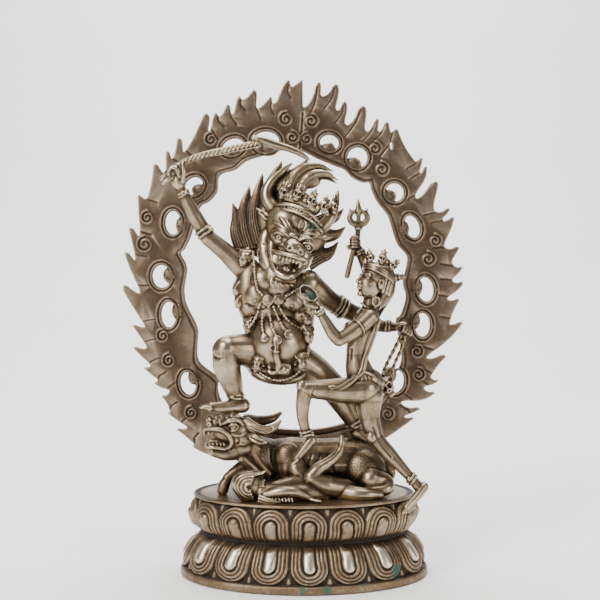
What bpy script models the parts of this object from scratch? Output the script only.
"""Small cast-metal group: the bull-headed Yama and his consort on a bull, a lotus base and a flame halo.

Metres, +Z up. The origin is the middle of the lotus base's underside, and the front faces -Y.
"""

import math

import bmesh
import bpy
from mathutils import Euler, Matrix, Vector

# Lotus base: an oval drum with two rows of petals
BASE_LENGTH = 0.135
BASE_DEPTH = 0.091
BASE_HEIGHT = 0.044
FOOT_BAND_HEIGHT = 0.004
WAIST_HEIGHT = 0.0238
WAIST_INSET = 0.0115
TOP_INSET = 0.0070
RIM_HEIGHT = 0.0016
LOWER_PETAL_RELIEF = 0.0026
UPPER_PETAL_RELIEF = 0.0020
PETAL_COUNT = 16
PETAL_SHIFT = 0.0026
COLUMNS_PER_PETAL = 6

# Figures: every pose below is written in 179ths of the group's height above the lotus base
GROUP_HEIGHT = 0.179
UNIT = GROUP_HEIGHT / 179
GROUP_BACK = 16.5 * UNIT

# Flame halo: an egg-shaped ring with holes, edged by flames, on a foot behind the bull.
# Its outline, opening and holes are written in hundredths of its reach, about its centre
HALO_REACH = 0.100
HALO_THICKNESS = 0.004
HALO_GAP_BEHIND_GROUP = 0.0012
HALO_OFFSET_X = -0.0051
HALO_FOOT_WIDTH = 0.062
HALO_FOOT_HEIGHT = 0.0152
HALO_UNIT = HALO_REACH / 100
HALO_BOTTOM = 112.6
OPENING_HALF_WIDTH = 62.8
OPENING_TOP = 60.0
OPENING_BOTTOM = 98.0
OPENING_LOWER_FULLNESS = 2.3
OPENING_SCALLOP = 1.3
HOLE_LENGTH = 13.0
HOLE_WIDTH = 9.2
HOLE_TURN_DEG = 2.0
HALO_CENTRE_ABOVE_BASE = HALO_FOOT_HEIGHT + HALO_BOTTOM * HALO_UNIT

# Holes of one side, mirrored on the other: across and up
HOLES = ((18, 65.7), (35.3, 60), (57, 39), (67.7, 19), (74.8, -14), (72, -35), (59, -70.5))

# Flames of a side, from the top down: the notch above each, as degrees from the top and reach,
# then its tip in the same terms. The casting isn't regular, so neither side mirrors the other
LEFT_FLAMES = (
    (1, 97, 2, 101),
    (8, 88.5, 8.5, 92.5),
    (14, 87.5, 13.5, 98),
    (18, 94.5, 19, 97),
    (23.5, 89, 23.5, 95),
    (28, 91, 28.5, 94),
    (34.5, 86.5, 31.5, 96),
    (46.5, 87, 44, 94.5),
    (51, 89.5, 50, 94.5),
    (57, 88, 56, 95.5),
    (68, 90.5, 68, 95.5),
    (82, 89, 79.5, 95),
    (91, 90.5, 88, 96),
    (102.5, 90, 99, 98.5),
    (114.5, 93.5, 112.5, 99),
    (121, 98, 119, 104),
    (126.5, 102, 126, 105.5),
    (131.5, 104, 131.5, 106.5),
    (136.5, 103.5, 136, 108.5),
    (141, 112, 140.5, 113.5),
    (147.5, 113.5, 145.5, 117.5),
    (151, 119.5, 151.5, 121.5),
)
RIGHT_FLAMES = (
    (3, 85.5, 7.5, 100.5),
    (9.5, 93, 13, 101),
    (16, 87, 17.5, 93),
    (21, 81, 24, 94),
    (29.5, 82.5, 30.5, 91.5),
    (33.5, 86, 34, 93),
    (42, 82, 38, 92.5),
    (51, 87.5, 51.5, 91.5),
    (56, 85.5, 55, 90.5),
    (63.5, 76.5, 61.5, 90.5),
    (71, 83.5, 72, 91.5),
    (75.5, 86.5, 75.5, 92.5),
    (85.5, 85, 86, 92.5),
    (91.5, 89, 93, 94.5),
    (98, 90, 98, 96),
    (105, 89.5, 104, 95.5),
    (113, 95, 111, 101),
    (127, 93.5, 123, 101),
    (131, 102, 130.5, 106.5),
    (135, 103.5, 134, 109.5),
    (143.5, 101.5, 140.5, 110),
    (145.5, 109, 143.5, 112.5),
)
TOP_FLAME_TIP = (2.5, 101.5)

# Gap that separately cast pieces keep where one stands on or touches another
SEAT_GAP = 0.0003

COLLECTION_NAME = "yama_statue"
CUTTER_COLLECTION_NAME = "cutters"


def clear_scene():
    for old in list(bpy.data.objects):
        bpy.data.objects.remove(old, do_unlink=True)


def new_collection(name):
    found = bpy.data.collections.new(name)
    bpy.context.scene.collection.children.link(found)
    return found


def metal(name, colour, roughness):
    made = bpy.data.materials.new(name)
    made.use_nodes = True
    shader = made.node_tree.nodes["Principled BSDF"]
    shader.inputs["Base Color"].default_value = (*colour, 1.0)
    shader.inputs["Roughness"].default_value = roughness
    shader.inputs["Metallic"].default_value = 1.0
    return made


def evaluated_mesh(source):
    bpy.context.view_layer.update()
    graph = bpy.context.evaluated_depsgraph_get()
    return bpy.data.meshes.new_from_object(source.evaluated_get(graph))


def limb(casting, points, bend_steps=3, sides=2):
    """A tapering round limb through (x, y, z, radius) points, with round ends, in group units."""
    curve = bpy.data.curves.new("limb", "CURVE")
    curve.dimensions = "3D"
    curve.bevel_depth = 1.0
    curve.bevel_resolution = sides
    curve.use_fill_caps = True
    curve.resolution_u = bend_steps
    spline = curve.splines.new("BEZIER")
    spline.bezier_points.add(len(points) - 1)
    for knot, (x, y, z, radius) in zip(spline.bezier_points, points):
        knot.co = (x, y, z)
        knot.radius = radius
        knot.handle_left_type = "AUTO"
        knot.handle_right_type = "AUTO"
    holder = bpy.data.objects.new("limb", curve)
    bpy.context.scene.collection.objects.link(holder)
    tube = evaluated_mesh(holder)
    casting.from_mesh(tube)
    bpy.data.objects.remove(holder, do_unlink=True)
    bpy.data.meshes.remove(tube)
    for x, y, z, radius in (points[0], points[-1]):
        ball(casting, (x, y, z), radius)


def ball(casting, centre, radii, turn_deg=(0, 0, 0)):
    """A sphere or ellipsoid, in group units, turned about its own centre."""
    if isinstance(radii, (int, float)):
        radii = (radii, radii, radii)
    turn = Euler([math.radians(a) for a in turn_deg]).to_matrix().to_4x4()
    place = Matrix.Translation(centre) @ turn @ Matrix.Diagonal((*radii, 1.0))
    bmesh.ops.create_uvsphere(casting, u_segments=14, v_segments=9, radius=1.0, matrix=place)


def flame_lock(casting, root, tip, width, thickness):
    """A flat pointed lock of hair or blade, from its root to its tip, facing -Y."""
    root, tip = Vector(root), Vector(tip)
    along = tip - root
    place = Matrix.Translation((root + tip) / 2)
    place = place @ along.to_track_quat("Z", "Y").to_matrix().to_4x4()
    place = place @ Matrix.Diagonal((width, thickness, along.length / 2, 1.0))
    bmesh.ops.create_cone(
        casting,
        cap_ends=True,
        segments=10,
        radius1=1.0,
        radius2=0.12,
        depth=2.0,
        matrix=place,
    )


def cast_in_one(name, casting, grain, triangles, collection, finish):
    """Melts overlapping solids into one closed skin, thins it to a triangle budget and stands it on the base."""
    mesh = bpy.data.meshes.new(name)
    casting.to_mesh(mesh)
    casting.free()
    made = bpy.data.objects.new(name, mesh)
    collection.objects.link(made)
    melt = made.modifiers.new("Melt", "REMESH")
    melt.mode = "VOXEL"
    melt.voxel_size = grain
    soften = made.modifiers.new("Soften", "SMOOTH")
    soften.factor = 0.5
    soften.iterations = 2
    skin = evaluated_mesh(made)
    made.modifiers.clear()
    made.data = skin
    thin = made.modifiers.new("Thin", "DECIMATE")
    thin.ratio = triangles / sum(len(face.vertices) - 2 for face in skin.polygons)
    thinned = evaluated_mesh(made)
    made.modifiers.clear()
    flatten_folds(thinned)
    made.data = thinned
    made.data.transform(Matrix.Translation((0, 0, BASE_HEIGHT)) @ Matrix.Scale(UNIT, 4))
    made.data.materials.clear()
    made.data.materials.append(finish)
    made.data.shade_smooth()
    return made


def flatten_folds(mesh):
    """Relaxes the corners of any face that thinning has folded back on its neighbour."""
    shape = bmesh.new()
    shape.from_mesh(mesh)
    for _ in range(12):
        folded = {
            corner
            for edge in shape.edges
            if edge.calc_face_angle(0.0) > math.radians(135)
            for face in edge.link_faces
            for corner in face.verts
        }
        if not folded:
            break
        bmesh.ops.smooth_vert(
            shape, verts=list(folded), factor=0.5, use_axis_x=True, use_axis_y=True, use_axis_z=True
        )
    shape.to_mesh(mesh)
    shape.free()


def grown_copy(source, gap, cutters):
    """The neighbour's shape, grown by the seat gap, as a cutter."""
    cutter = bpy.data.objects.new("cutter_" + source.name, source.data.copy())
    cutters.objects.link(cutter)
    grow = cutter.modifiers.new("Grow", "DISPLACE")
    grow.mid_level = 0.0
    grow.strength = gap
    cutter.hide_render = True
    cutter.display_type = "WIRE"
    return cutter


def keep_clear_of(piece, cutter):
    """Cuts the piece where it would enter the cutter, and applies the cut."""
    cut = piece.modifiers.new("Seat", "BOOLEAN")
    cut.operation = "DIFFERENCE"
    cut.solver = "EXACT"
    cut.object = cutter
    seated = evaluated_mesh(piece)
    piece.modifiers.clear()
    piece.data = seated
    whole = bmesh.new()
    whole.from_mesh(seated)
    drop_crumbs(whole)
    whole.to_mesh(seated)
    whole.free()


def drop_crumbs(mesh):
    """Keeps the largest connected shell of a cut casting."""
    left = set(mesh.verts)
    shells = []
    while left:
        queue = [left.pop()]
        shell = set(queue)
        while queue:
            for edge in queue.pop().link_edges:
                for vert in edge.verts:
                    if vert in left:
                        left.discard(vert)
                        shell.add(vert)
                        queue.append(vert)
        shells.append(shell)
    shells.sort(key=len)
    crumbs = [vert for shell in shells[:-1] for vert in shell]
    bmesh.ops.delete(mesh, geom=crumbs, context="VERTS")


def oval_point(angle, inset):
    """A point of the base's outline, set in by a distance."""
    return Vector(
        (
            (BASE_LENGTH / 2 - inset) * math.cos(angle),
            (BASE_DEPTH / 2 - inset) * math.sin(angle),
            0.0,
        )
    )


def petal_share(angle_steps=720):
    """The share of the oval's circumference passed at each angle, starting at the front."""
    shares = [0.0]
    start = -math.pi / 2
    for i in range(angle_steps):
        a = oval_point(start + 2 * math.pi * i / angle_steps, TOP_INSET)
        b = oval_point(start + 2 * math.pi * (i + 1) / angle_steps, TOP_INSET)
        shares.append(shares[-1] + (b - a).length)
    return [share / shares[-1] for share in shares], shares[-1]


def petal_height(across, along, relief):
    """Relief of one petal: across runs -1 to 1, along runs 0 at the waist to 1 at its round tip."""
    shoulder = 0.55
    half = 0.96
    if along > shoulder:
        half *= math.sqrt(max(0.0, 1 - ((along - shoulder) / (1 - shoulder)) ** 2))
    if half < 0.05 or abs(across) >= half:
        return -0.35 * relief
    body = 1 - (across / half) ** 2
    return relief * (0.25 + 0.75 * math.sqrt(body))


def base_profile():
    """The drum's outer side from the underside to the top, as (inset, height), with the rows between."""
    foot = [(0.0008, 0.0), (0.0, 0.0012), (0.0, FOOT_BAND_HEIGHT - 0.0005)]
    waist = WAIST_HEIGHT - 0.0006
    shelf = BASE_HEIGHT - RIM_HEIGHT
    lower = []
    for step in range(6):
        share = step / 5
        inset = LOWER_PETAL_RELIEF + (WAIST_INSET - LOWER_PETAL_RELIEF) * share**2.1
        lower.append((inset, FOOT_BAND_HEIGHT + share * (waist - FOOT_BAND_HEIGHT)))
    upper = []
    for step in range(5):
        share = step / 4
        bulge = math.sin(math.pi * (0.1 + 0.75 * share))
        inset = WAIST_INSET - (WAIST_INSET - TOP_INSET) * bulge
        upper.append((inset, waist + 0.0012 + share * (shelf - waist - 0.0012)))
    return foot + lower + upper + [(TOP_INSET, BASE_HEIGHT)]


def lotus_base(collection, finish):
    """An oval drum turned from its profile, then pressed out into two rows of petals."""
    profile = base_profile()
    top_radius = BASE_LENGTH / 2
    mesh = bpy.data.meshes.new("lotus_base")
    rows = [(0.0, 0.0)] + [(top_radius - inset, z) for inset, z in profile] + [(0.0, BASE_HEIGHT)]
    rows.reverse()
    points = [(x, 0.0, z) for x, z in rows]
    mesh.from_pydata(points, [(i, i + 1) for i in range(len(points) - 1)], [])
    base = bpy.data.objects.new("lotus_base", mesh)
    collection.objects.link(base)
    turn = base.modifiers.new("Turn", "SCREW")
    turn.steps = PETAL_COUNT * COLUMNS_PER_PETAL
    turn.render_steps = turn.steps
    turn.use_merge_vertices = True
    turn.merge_threshold = 0.0001
    turned = evaluated_mesh(base)
    base.modifiers.clear()
    base.data = turned
    shares, girth = petal_share()
    columns = PETAL_COUNT * COLUMNS_PER_PETAL
    lower_end = WAIST_HEIGHT - 0.0003
    for vert in turned.vertices:
        radius = math.hypot(vert.co.x, vert.co.y)
        if radius < 0.001:
            continue
        column = round(math.atan2(vert.co.y, vert.co.x) / (2 * math.pi) * columns) % columns
        place = (column / columns + PETAL_SHIFT / girth) % 1.0
        step = next(i for i, share in enumerate(shares) if share >= place)
        span = shares[step] - shares[step - 1] or 1.0
        angle = -math.pi / 2 + 2 * math.pi * (step - 1 + (place - shares[step - 1]) / span) / 720
        across = 2 * (((column / COLUMNS_PER_PETAL + 0.5) % 1.0) - 0.5)
        z = vert.co.z
        push = 0.0
        if FOOT_BAND_HEIGHT < z < lower_end:
            along = (lower_end - z) / (lower_end - FOOT_BAND_HEIGHT)
            push = petal_height(across, along, LOWER_PETAL_RELIEF) * min(1.0, 6 * along)
        elif lower_end < z < BASE_HEIGHT - RIM_HEIGHT:
            along = (z - lower_end) / (BASE_HEIGHT - RIM_HEIGHT - lower_end)
            push = petal_height(across, along, UPPER_PETAL_RELIEF) * min(1.0, 6 * along)
        place = oval_point(angle, top_radius - radius - push)
        vert.co = (place.x, place.y, z)
    turned.materials.append(finish)
    turned.shade_smooth()
    turned.set_sharp_from_angle(angle=math.radians(40))
    return base


def ring_point(angle_deg, reach):
    """A point about the halo's centre: degrees from the top, clockwise, and how far out."""
    angle = math.radians(angle_deg)
    return Vector((math.sin(angle), math.cos(angle))) * reach


def opening_outline(steps):
    """The halo's egg-shaped opening, scalloped a little, as a closed line."""
    points = []
    for step in range(steps):
        angle = 2 * math.pi * step / steps
        across, rise = math.sin(angle), math.cos(angle)
        if rise >= 0:
            point = Vector((OPENING_HALF_WIDTH * across, OPENING_TOP * rise))
        else:
            share = 2 / OPENING_LOWER_FULLNESS
            out = math.copysign(abs(across) ** share, across)
            point = Vector((OPENING_HALF_WIDTH * out, -OPENING_BOTTOM * (-rise) ** share))
        points.append(point * (1 - OPENING_SCALLOP * math.cos(7 * angle) / point.length))
    return points


def bent(start, end, bulge, steps):
    """A bowed line from start to just short of end; bulge is its bow as a share of its length."""
    span = end - start
    bow = (start + end) / 2 + Vector((-span.y, span.x)) * 2 * bulge
    points = []
    for step in range(steps):
        share = step / steps
        points.append(start.lerp(bow, share).lerp(bow.lerp(end, share), share))
    return points


def flame_edge(flames, side, foot_corner):
    """One side's edge from its first notch down to the foot, each flame hollow above and full below."""
    edge = []
    for i, (notch_angle, notch_reach, tip_angle, tip_reach) in enumerate(flames):
        notch = ring_point(side * notch_angle, notch_reach)
        tip = ring_point(side * tip_angle, tip_reach)
        if i + 1 < len(flames):
            after = ring_point(side * flames[i + 1][0], flames[i + 1][1])
        else:
            after = foot_corner
        edge += bent(notch, tip, -side * 0.20, 2)
        edge += bent(tip, after, side * 0.06, 3)
    return edge


def add_outline(curve, points):
    """A closed line of a flat curve, from points in halo units."""
    spline = curve.splines.new("POLY")
    spline.points.add(len(points) - 1)
    for knot, point in zip(spline.points, points):
        knot.co = (point.x * HALO_UNIT, point.y * HALO_UNIT, 0.0, 1.0)
    spline.use_cyclic_u = True


def flame_halo(collection, finish):
    """A flat cast plate: flame edge, egg-shaped opening, paired holes and a straight foot."""
    curve = bpy.data.curves.new("flame_halo", "CURVE")
    curve.dimensions = "2D"
    curve.fill_mode = "BOTH"
    curve.extrude = HALO_THICKNESS / 2
    foot_half = HALO_FOOT_WIDTH / HALO_UNIT / 2
    foot_level = (SEAT_GAP - HALO_CENTRE_ABOVE_BASE) / HALO_UNIT
    sides = []
    for flames, side in ((LEFT_FLAMES, -1), (RIGHT_FLAMES, 1)):
        corner = Vector((side * foot_half, -HALO_BOTTOM))
        heel = Vector((side * foot_half, foot_level))
        sides.append([*flame_edge(flames, side, corner), corner, heel])
    left, right = sides
    add_outline(curve, [ring_point(*TOP_FLAME_TIP), *right, *reversed(left)])
    add_outline(curve, opening_outline(56))
    turn = Matrix.Rotation(math.radians(-HOLE_TURN_DEG), 2)
    for across, up in HOLES:
        for side in (1, -1):
            middle = turn @ Vector((side * across, up))
            along = Vector((-middle.y, middle.x)).normalized() * HOLE_LENGTH / 2
            out = middle.normalized() * HOLE_WIDTH / 2
            angles = [2 * math.pi * step / 10 for step in range(10)]
            add_outline(curve, [middle + along * math.cos(a) + out * math.sin(a) for a in angles])
    halo = bpy.data.objects.new("flame_halo", curve)
    collection.objects.link(halo)
    plate = evaluated_mesh(halo)
    bpy.data.objects.remove(halo, do_unlink=True)
    shape = bmesh.new()
    shape.from_mesh(plate)
    bmesh.ops.remove_doubles(shape, verts=shape.verts, dist=0.00001)
    shape.to_mesh(plate)
    shape.free()
    plate.materials.clear()
    plate.materials.append(finish)
    stood = bpy.data.objects.new("flame_halo", plate)
    collection.objects.link(stood)
    stood.rotation_euler = (math.radians(90), 0, 0)
    stood.location = (
        HALO_OFFSET_X,
        GROUP_BACK + HALO_GAP_BEHIND_GROUP + HALO_THICKNESS / 2,
        BASE_HEIGHT + HALO_CENTRE_ABOVE_BASE,
    )
    return stood


def bull_and_fallen_figure(collection, cutters, finish):
    """The kneeling bull with the fallen figure pinned beneath it, one casting."""
    casting = bmesh.new()
    limb(casting, [(-20, 0, 17.5, 10), (-6, 1, 16.5, 12), (9, 2, 16, 12), (24, 2, 16, 12.5), (34, 2, 14.5, 12)])
    limb(casting, [(-34, -7, 27, 8.5), (-27, -4, 22, 9.5), (-18, -1, 18, 10.5)])
    ball(casting, (-8, -9, 17, ), (7.5, 7, 10.5))
    ball(casting, (34, -7, 12), (9.5, 9, 10.5), (0, 20, 0))
    ball(casting, (-34.5, -9, 32), (9.5, 8.5, 8.5), (0, 15, 0))
    limb(casting, [(-36, -10, 34.5, 8), (-45, -12, 33.5, 6), (-50, -13, 31.5, 3.6)])
    limb(casting, [(-33, -9, 26, 7), (-41, -11, 23, 4.4), (-49.5, -13, 24, 2.4)])
    ball(casting, (-50, -13, 35), (2.6, 4.5, 2.6))
    ball(casting, (-38.5, -17, 37), 3.0)
    limb(casting, [(-31, -13, 38.5, 3.4), (-22.5, -15, 35.6, 3.0), (-16, -16, 37, 2.4), (-12.5, -16, 40.4, 1.3)])
    limb(casting, [(-31, -4, 39.5, 3.4), (-24, 3, 38, 3.0), (-17, 7, 39, 2.3), (-13, 8, 41.5, 1.3)])
    limb(casting, [(-29, -15, 32, 2.8), (-22, -18, 29.5, 2.6)])
    limb(casting, [(-4, -13, 15, 5.5), (-1.5, -17, 9, 4.4), (-11, -20, 8.5, 4.0), (-21, -22, 5.5, 2.8)])
    limb(casting, [(-29, -4, 16, 5), (-36, -6, 12.5, 3.4), (-43, -8, 8, 2.8), (-43.5, -8, 3, 2.8)])
    limb(casting, [(36, -12, 9, 6.5), (45, -14, 6, 3.6), (36, -18, 3.5, 3.0), (25, -20, 3, 3.2)])
    limb(casting, [(40, 2, 20, 3.2), (45.5, -3, 15.5, 2.5), (48.5, -5, 11, 2.8)])
    limb(casting, [(36, 8, 9, 6.5), (45, 9, 4, 3.4)])
    # The fallen figure: head with loose hair, arms and one drawn-up leg
    ball(casting, (-30, -25, 5.5), (7.0, 5.5, 7.5), (0, 25, 0))
    ball(casting, (-26, -23, 10), (4.6, 4.4, 4.6))
    limb(casting, [(-22, -24, 5, 4), (-14, -24, 3.5, 5), (-2, -21, 3, 6), (10, -17, 3, 6.5)])
    limb(casting, [(-20, -27, 3.5, 2.6), (-6, -28, 4.5, 3.2), (3, -28, 2.2, 2.2), (8, -29, 1.5, 1.4)])
    limb(casting, [(22, -16, 4.5, 5.2), (12, -20, 7, 5.6), (3.8, -21.5, 11.5, 4.2)])
    limb(casting, [(3.8, -21.5, 12, 4.0), (12, -18.5, 17.5, 3.4), (18.5, -15.5, 22.5, 2.7), (20.4, -14, 29, 2.1)])
    limb(casting, [(20, -17, 3, 5), (30, -21, 2.5, 4.2), (40, -20, 2, 2.6)])
    ball(casting, (0, -4, 4), (34, 15, 6))
    made = cast_in_one("bull_on_fallen_figure", casting, 0.75, 1300, collection, finish)
    keep_clear_of(made, oval_cutter(cutters))
    return made


def oval_cutter(cutters):
    """The space of the lotus base's top, grown by the seat gap, for whatever stands on it."""
    depth = BASE_HEIGHT
    bpy.ops.mesh.primitive_cylinder_add(
        vertices=64, radius=1.0, depth=depth, location=(0, 0, BASE_HEIGHT + SEAT_GAP - depth / 2)
    )
    cutter = bpy.context.object
    cutter.name = "cutter_base_top"
    reach = SEAT_GAP + UPPER_PETAL_RELIEF
    cutter.scale = (BASE_LENGTH / 2 - TOP_INSET + reach, BASE_DEPTH / 2 - TOP_INSET + reach, 1)
    for owner in list(cutter.users_collection):
        owner.objects.unlink(cutter)
    cutters.objects.link(cutter)
    cutter.hide_render = True
    cutter.display_type = "WIRE"
    return cutter


def yama_hair(casting):
    """Upswept flame hair behind the head: a fan of flat pointed locks."""
    ball(casting, (-12, 5, 148), (15, 6, 15))
    ball(casting, (-24, 5, 137), (10, 5.5, 14), (0, -10, 0))
    ball(casting, (5, 5, 140), (9, 5, 10))
    locks = (
        ((-28, 6, 136), (-39.5, 6, 158.5), 6.0),
        ((-26, 6, 142), (-30.5, 7, 168), 6.0),
        ((-20, 6, 148), (-23, 6, 175), 5.5),
        ((-14, 6, 156), (-12.5, 5, 181.5), 5.0),
        ((-10, 3, 158), (2.4, 2, 182.5), 5.0),
        ((-3, 2, 165), (10, 2, 173.5), 5.0),
        ((4, 2, 171), (17, 1, 176), 3.6),
        ((3, 2, 165), (18.5, 1, 170.5), 3.6),
        ((6, 5, 147), (21.8, 4, 154.5), 4.2),
        ((6, 5, 141), (23, 4, 144.6), 4.4),
        ((4, 5, 132), (19.0, 4, 136.5), 6.0),
    )
    for root, tip, width in locks:
        flame_lock(casting, root, tip, width, 3.2)


def yama_head(casting):
    """Bull's head, turned to the right and down, with horns, open jaws and a crown of skulls."""
    ball(casting, (-8, -4, 146), (13, 12, 13.5), (0, 20, 0))
    ball(casting, (-7.5, -9, 139), (12, 9, 9), (0, 25, 0))
    ball(casting, (-6.2, -14, 134.5), (9.0, 8.5, 6.0), (0, 25, 0))
    ball(casting, (-4.4, -20, 132.2), (7.2, 4.5, 4.6), (0, 25, 0))
    ball(casting, (-13.5, -15, 141), 3.6)
    ball(casting, (0.5, -14.5, 135.5), 3.2)
    limb(casting, [(-21.5, -3, 142, 4.0), (-23.0, -4, 133, 4.8), (-19.0, -6, 124, 5.0), (-12, -9, 117.5, 5.2)])
    ball(casting, (-12.5, -8, 122), (7.5, 7.0, 6.5))
    ball(casting, (-10.5, -15, 120.4), (6.6, 5.5, 3.8), (0, 15, 0))
    ball(casting, (-1.5, -6, 128), (6, 6, 7))
    limb(casting, [(-16.5, -3, 154, 4.4), (-20.6, -1, 161.5, 3.8), (-17.8, 0, 169.5, 2.9), (-10.0, 0, 177, 1.5)])
    limb(casting, [(7.0, -4, 142, 4.2), (13.2, -3, 147.5, 3.4), (16.5, -2, 155.7, 2.6), (17.6, -1, 163.6, 1.3)])
    limb(casting, [(-17, -3, 149.5, 2.8), (-26, -2, 155, 1.2)])
    limb(casting, [(-17.5, -6, 155.5, 2.0), (-11, -13, 156, 2.2), (-2, -16, 152.5, 2.2), (6, -13, 148.8, 2.2), (9, -6, 147, 2.0)])
    skulls = ((-14.5, -2, 161.5), (-9.6, -9, 164), (-2.6, -12.5, 162.5), (4.4, -13, 158.6), (11.0, -9, 154.6))
    for x, y, z in skulls:
        ball(casting, (x, y, z), (3.6, 3.6, 4.4))
        limb(casting, [(x + 0.6, y + 1, z + 3, 2.2), (x + 2.2, y + 1, z + 8, 1.1)])
    ball(casting, (-2, -4, 158), (11, 9, 6), (0, 25, 0))


def yama_garland(casting):
    """A garland of severed heads hung round the shoulders, flanks and belly, with a pendant."""
    heads = (
        (-33.4, -5, 127.5, 4.6),
        (-37.3, -3, 110.5, 4.4),
        (-36.6, -3, 104.5, 4.2),
        (-30.3, -7, 91.0, 4.6),
        (-29.5, -7, 85.5, 4.2),
        (-25.6, -14, 71.2, 4.8),
        (-1.4, -16, 71.6, 4.6),
        (3.0, -9, 85.0, 4.8),
        (2.0, -5, 100.5, 4.8),
        (1.6, -6, 94.0, 4.2),
    )
    for x, y, z, radius in heads:
        ball(casting, (x, y, z), radius)
    limb(casting, [(-14.8, -20.5, 83, 2.0), (-14.8, -21.5, 76, 1.9), (-14.6, -20, 69, 2.3), (-18.4, -19, 67.2, 2.3)])
    limb(casting, [(-12, -19, 68, 3.0), (-9.2, -19, 68.4, 3.0)])
    limb(casting, [(-22, -13, 101, 1.5), (-14, -16.5, 97.5, 1.7), (-6, -14.5, 98.5, 1.5)])


def yama(collection, cutters, bull, finish):
    """Yama: bull-headed, pot-bellied, striding, club raised in one hand and a noose in the other."""
    casting = bmesh.new()
    ball(casting, (-16, 1, 110), (15.5, 11, 13))
    ball(casting, (-25, 0, 113), (9.5, 8.5, 9))
    ball(casting, (-4, 1, 111), (10.5, 9, 9.5))
    ball(casting, (-15.5, 0, 97), (13.5, 11, 13))
    ball(casting, (-14.4, -4, 81.5), (17.0, 16, 16.5))
    ball(casting, (-15, 0, 69), (17, 11.5, 9))
    ball(casting, (-13, 0, 121), (11, 9.5, 9))
    yama_hair(casting)
    yama_head(casting)
    yama_garland(casting)
    # Raised right arm, fist and club
    limb(casting, [(-27, 0, 118, 7.5), (-34, 0, 122.8, 6.2), (-43, 0, 131, 5.0), (-52.6, -1, 139, 4.5)])
    limb(casting, [(-52.6, -1, 139, 4.5), (-59.2, -2, 150, 4.1), (-65.6, -3, 163, 3.0)])
    ball(casting, (-68.6, -4, 170.6), (4.6, 4.0, 5.2), (0, -25, 0))
    limb(casting, [(-71, -6, 171.5, 2.0), (-76, -7, 168.5, 1.5)])
    limb(casting, [(-76, -4, 172.0, 1.9), (-69, -5.5, 178.0, 2.0), (-58, -5, 182.6, 2.0), (-42, -3.5, 186.8, 2.2), (-25, -2, 190.6, 2.4)])
    limb(casting, [(-27, -2, 192.6, 2.6), (-17.5, -1, 190.6, 2.4), (-6.6, 0, 187.4, 2.0), (2.2, 0.5, 182.2, 1.3)])
    # Left arm behind the consort, with the noose
    limb(casting, [(2, 1, 113.5, 8.0), (6.5, 2, 110.5, 6.6), (14.6, 6, 104, 5.6), (24, 10, 98.6, 5.0)])
    limb(casting, [(24, 10, 98.6, 5.0), (33, 11, 94.4, 4.4), (42.6, 9, 90.0, 3.6), (51.6, 6, 89.8, 2.6)])
    ball(casting, (55.0, 4, 88.8), (4.4, 2.6, 3.0), (0, 20, 0))
    limb(casting, [(57.5, 4, 89.5, 1.6), (60.6, 3, 85.5, 1.3)])
    limb(casting, [(54.4, 4, 86.5, 1.6), (49.0, 4, 75, 2.0), (42.8, 4, 63, 2.2)])
    limb(casting, [(56, 3, 86, 1.4), (52.4, 3, 73, 1.5), (48.0, 3, 60, 1.8)])
    ball(casting, (45.6, 3, 57.0), (5.2, 3.4, 5.6), (0, -20, 0))
    # Legs
    limb(casting, [(-21, -1, 73, 10.5), (-31.5, -8, 78, 9.0), (-41.5, -14, 79.5, 7.6)])
    limb(casting, [(-41.5, -14, 78.5, 7.6), (-41.6, -13.5, 70, 6.8), (-38.6, -11, 60, 5.4), (-36.4, -9, 52.5, 4.4)])
    limb(casting, [(-33.5, -8, 46.5, 4.6), (-42, -10.5, 46, 3.8), (-51, -12, 48.5, 2.4)])
    limb(casting, [(-4.4, 0, 71.5, 10.5), (5.5, 2, 65.0, 9.5), (15, 4, 57, 8.2)])
    limb(casting, [(15, 4, 57, 8.0), (22.2, 5, 46.7, 6.8), (29.5, 6, 35, 5.2)])
    limb(casting, [(30, 6, 31, 4.6), (35, 5, 27.5, 3.6), (41, 4, 25, 2.4)])
    made = cast_in_one("yama_figure", casting, 0.66, 2380, collection, finish)
    keep_clear_of(made, grown_copy(bull, SEAT_GAP, cutters))
    return made


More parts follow.
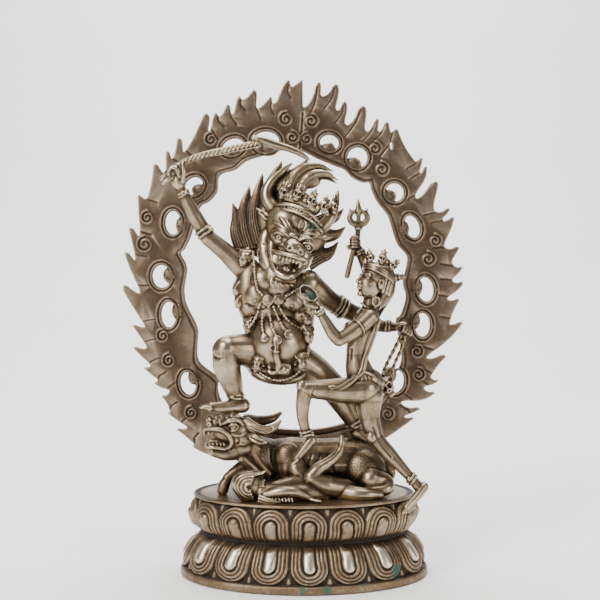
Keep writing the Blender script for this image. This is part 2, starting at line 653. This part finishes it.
def consort(collection, cutters, bull, partner, finish):
    """The consort: lunging up to Yama, cup offered in one hand and trident raised in the other."""
    casting = bmesh.new()
    ball(casting, (38.5, -12, 116.5), (8.6, 8.0, 10.5), (0, 18, 0))
    ball(casting, (33.5, -13, 111.5), (6.0, 6.0, 6.5), (0, 18, 0))
    limb(casting, [(36, -12, 106, 4.0), (35, -12, 99, 4.6)])
    limb(casting, [(33.5, -13, 94, 7.4), (29.5, -14, 85, 6.6), (28, -14.5, 76, 6.0), (30, -14, 66, 7.8), (32.5, -13.5, 59, 8.4)])
    ball(casting, (24.5, -18, 89), 4.0)
    ball(casting, (37, -11, 60), (5.5, 7.5, 7))
    limb(casting, [(35, -17, 96.5, 5.0), (27, -22, 90, 4.0), (18, -24.5, 84.8, 3.7)])
    limb(casting, [(18, -24.5, 84.8, 3.7), (12.6, -24.5, 92, 3.2), (8, -23.5, 99.5, 2.5)])
    ball(casting, (4.0, -23.5, 105.5), (4.6, 3.0, 5.4), (0, -35, 0))
    ball(casting, (0.8, -24.0, 111.0), (5.0, 4.6, 4.0), (0, -30, 0))
    limb(casting, [(36, -8, 97, 4.6), (38.5, -2.5, 108, 3.8), (35.2, -2, 120, 3.6), (31.4, -4, 128.5, 2.9), (28.8, -5, 134, 2.6)])
    ball(casting, (28.2, -6, 136.5), (3.4, 3.2, 3.8))
    limb(casting, [(23.4, -7, 118, 1.5), (26.4, -7, 130, 1.5), (28.8, -7, 138, 1.6), (29.3, -7, 147, 1.8), (29.5, -7, 159.5, 0.9)])
    limb(casting, [(29.2, -7, 145.5, 1.6), (25.4, -7, 149.6, 1.4), (25.2, -7, 155.6, 0.8)])
    limb(casting, [(29.4, -7, 145.5, 1.6), (34.2, -7, 149.4, 1.4), (34.6, -7, 154.4, 0.8)])
    limb(casting, [(31, -17, 122, 1.7), (37, -20, 124.5, 1.8), (44, -17, 123.5, 1.8), (48, -10, 119.5, 1.7)])
    for x, y, z in ((37.0, -16, 129.0), (44.0, -13.5, 130.0), (50.0, -10.5, 126.0), (52.5, -8, 119.5)):
        ball(casting, (x, y, z), (2.8, 2.8, 3.4), (0, 30, 0))
    limb(casting, [(44, -9, 109, 2.8), (40, -9, 98, 2.2), (38.4, -9.5, 85, 1.8), (34, -10, 70, 1.8)])
    limb(casting, [(32.5, -15, 57.5, 8.4), (21.5, -18, 57.2, 7.0), (9.5, -21, 58, 5.4), (0.8, -23, 58.6, 4.6)])
    limb(casting, [(0.6, -23, 58.6, 4.4), (-0.4, -22.8, 50, 3.9), (-0.5, -22, 42, 3.1), (1.2, -21.4, 35, 2.6)])
    limb(casting, [(4.2, -20.6, 31, 2.9), (-0.5, -21.6, 25.2, 2.5), (-6, -22.4, 20, 1.7)])
    limb(casting, [(34.5, -14, 54, 8.0), (35.4, -15, 42, 5.4), (38.5, -16, 30.6, 4.4)])
    limb(casting, [(38.5, -16, 30.6, 4.4), (47, -18.5, 21.4, 3.9), (53, -20.5, 15.5, 3.1), (57.6, -22.4, 10.4, 2.6)])
    limb(casting, [(63.6, -23, 6.8, 2.9), (58.6, -27, 2.0, 2.5), (51.6, -32.5, -3.5, 1.7)])
    limb(casting, [(57.6, -22.4, 10.4, 2.6), (61, -23.5, 6, 2.8)])
    made = cast_in_one("consort_figure", casting, 0.6, 1560, collection, finish)
    keep_clear_of(made, grown_copy(bull, SEAT_GAP, cutters))
    keep_clear_of(made, grown_copy(partner, SEAT_GAP, cutters))
    keep_clear_of(made, oval_cutter(cutters))
    return made


def build():
    clear_scene()
    parts = new_collection(COLLECTION_NAME)
    cutters = new_collection(CUTTER_COLLECTION_NAME)
    bright = metal("pale_bronze", (0.48, 0.42, 0.33), 0.34)
    dull = metal("dull_bronze", (0.33, 0.27, 0.21), 0.48)
    warm = metal("warm_bronze", (0.40, 0.33, 0.25), 0.42)
    lotus_base(parts, warm)
    bull = bull_and_fallen_figure(parts, cutters, bright)
    partner = yama(parts, cutters, bull, bright)
    consort(parts, cutters, bull, partner, bright)
    flame_halo(parts, dull)


build()
